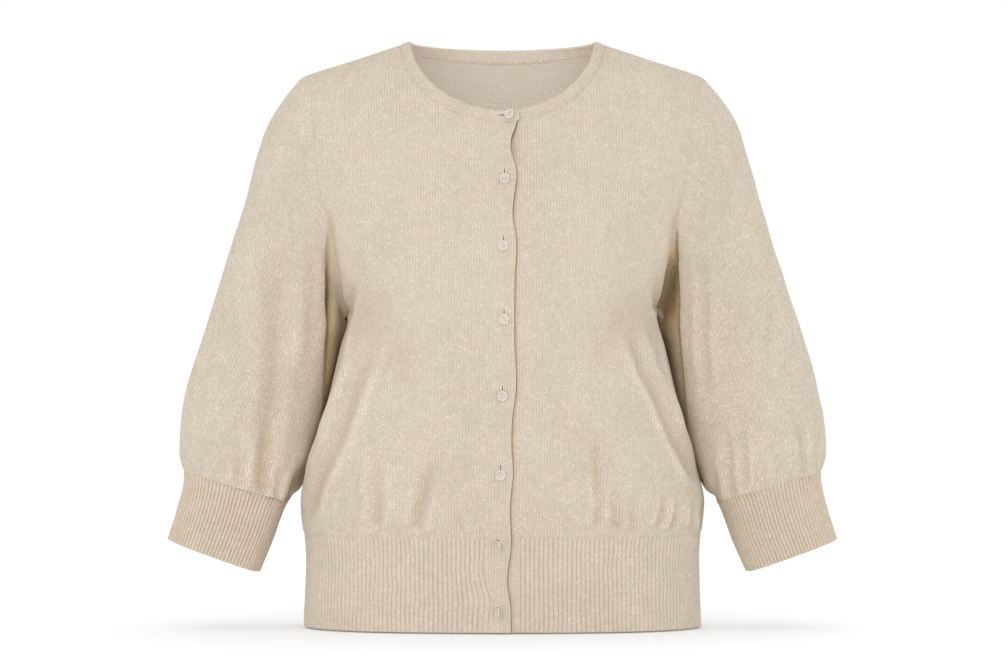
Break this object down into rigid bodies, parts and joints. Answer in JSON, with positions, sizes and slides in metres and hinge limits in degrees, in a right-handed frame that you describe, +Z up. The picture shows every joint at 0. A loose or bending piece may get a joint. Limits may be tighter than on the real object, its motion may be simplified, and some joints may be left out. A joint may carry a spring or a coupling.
{
  "type": "cardigan",
  "caption": "Fine-knit round-neck cardigan, filled out as worn, with cropped sleeves, a buttoned front and deep ribbed hem and cuffs.",
  "frame": {"origin": "the middle of the neck, level with the highest points of the shoulders, where a wearer's shoulders hold the cardigan", "axes": "+X to the wearer's left, the front faces -Y, +Z up; the body's middle plane is X = 0, and the shoulder and side seams lie in Y = 0"},
  "size_m": [0.6826, 0.2429, 0.5942],
  "materials": {
    "jersey": "matt fine stockinette with a fine metallic yarn",
    "rib": "matt knitted rib with a fine metallic yarn",
    "button_pearl": "pearly and slightly translucent"
  },
  "bodies": {
    "root": {"front_right": "jersey", "front_left": "jersey", "back": "jersey", "sleeve_right": "jersey", "sleeve_left": "jersey", "cuff_right": "rib", "cuff_left": "rib", "hem_front_right": "rib", "hem_front_left": "rib", "hem_back": "rib", "placket_right": "jersey", "placket_left": "jersey", "neck_band": "jersey", "button_1": "button_pearl", "button_2": "button_pearl", "button_3": "button_pearl", "button_4": "button_pearl", "button_5": "button_pearl", "button_6": "button_pearl", "button_7": "button_pearl", "button_8": "button_pearl"}
  },
  "joints": []
}
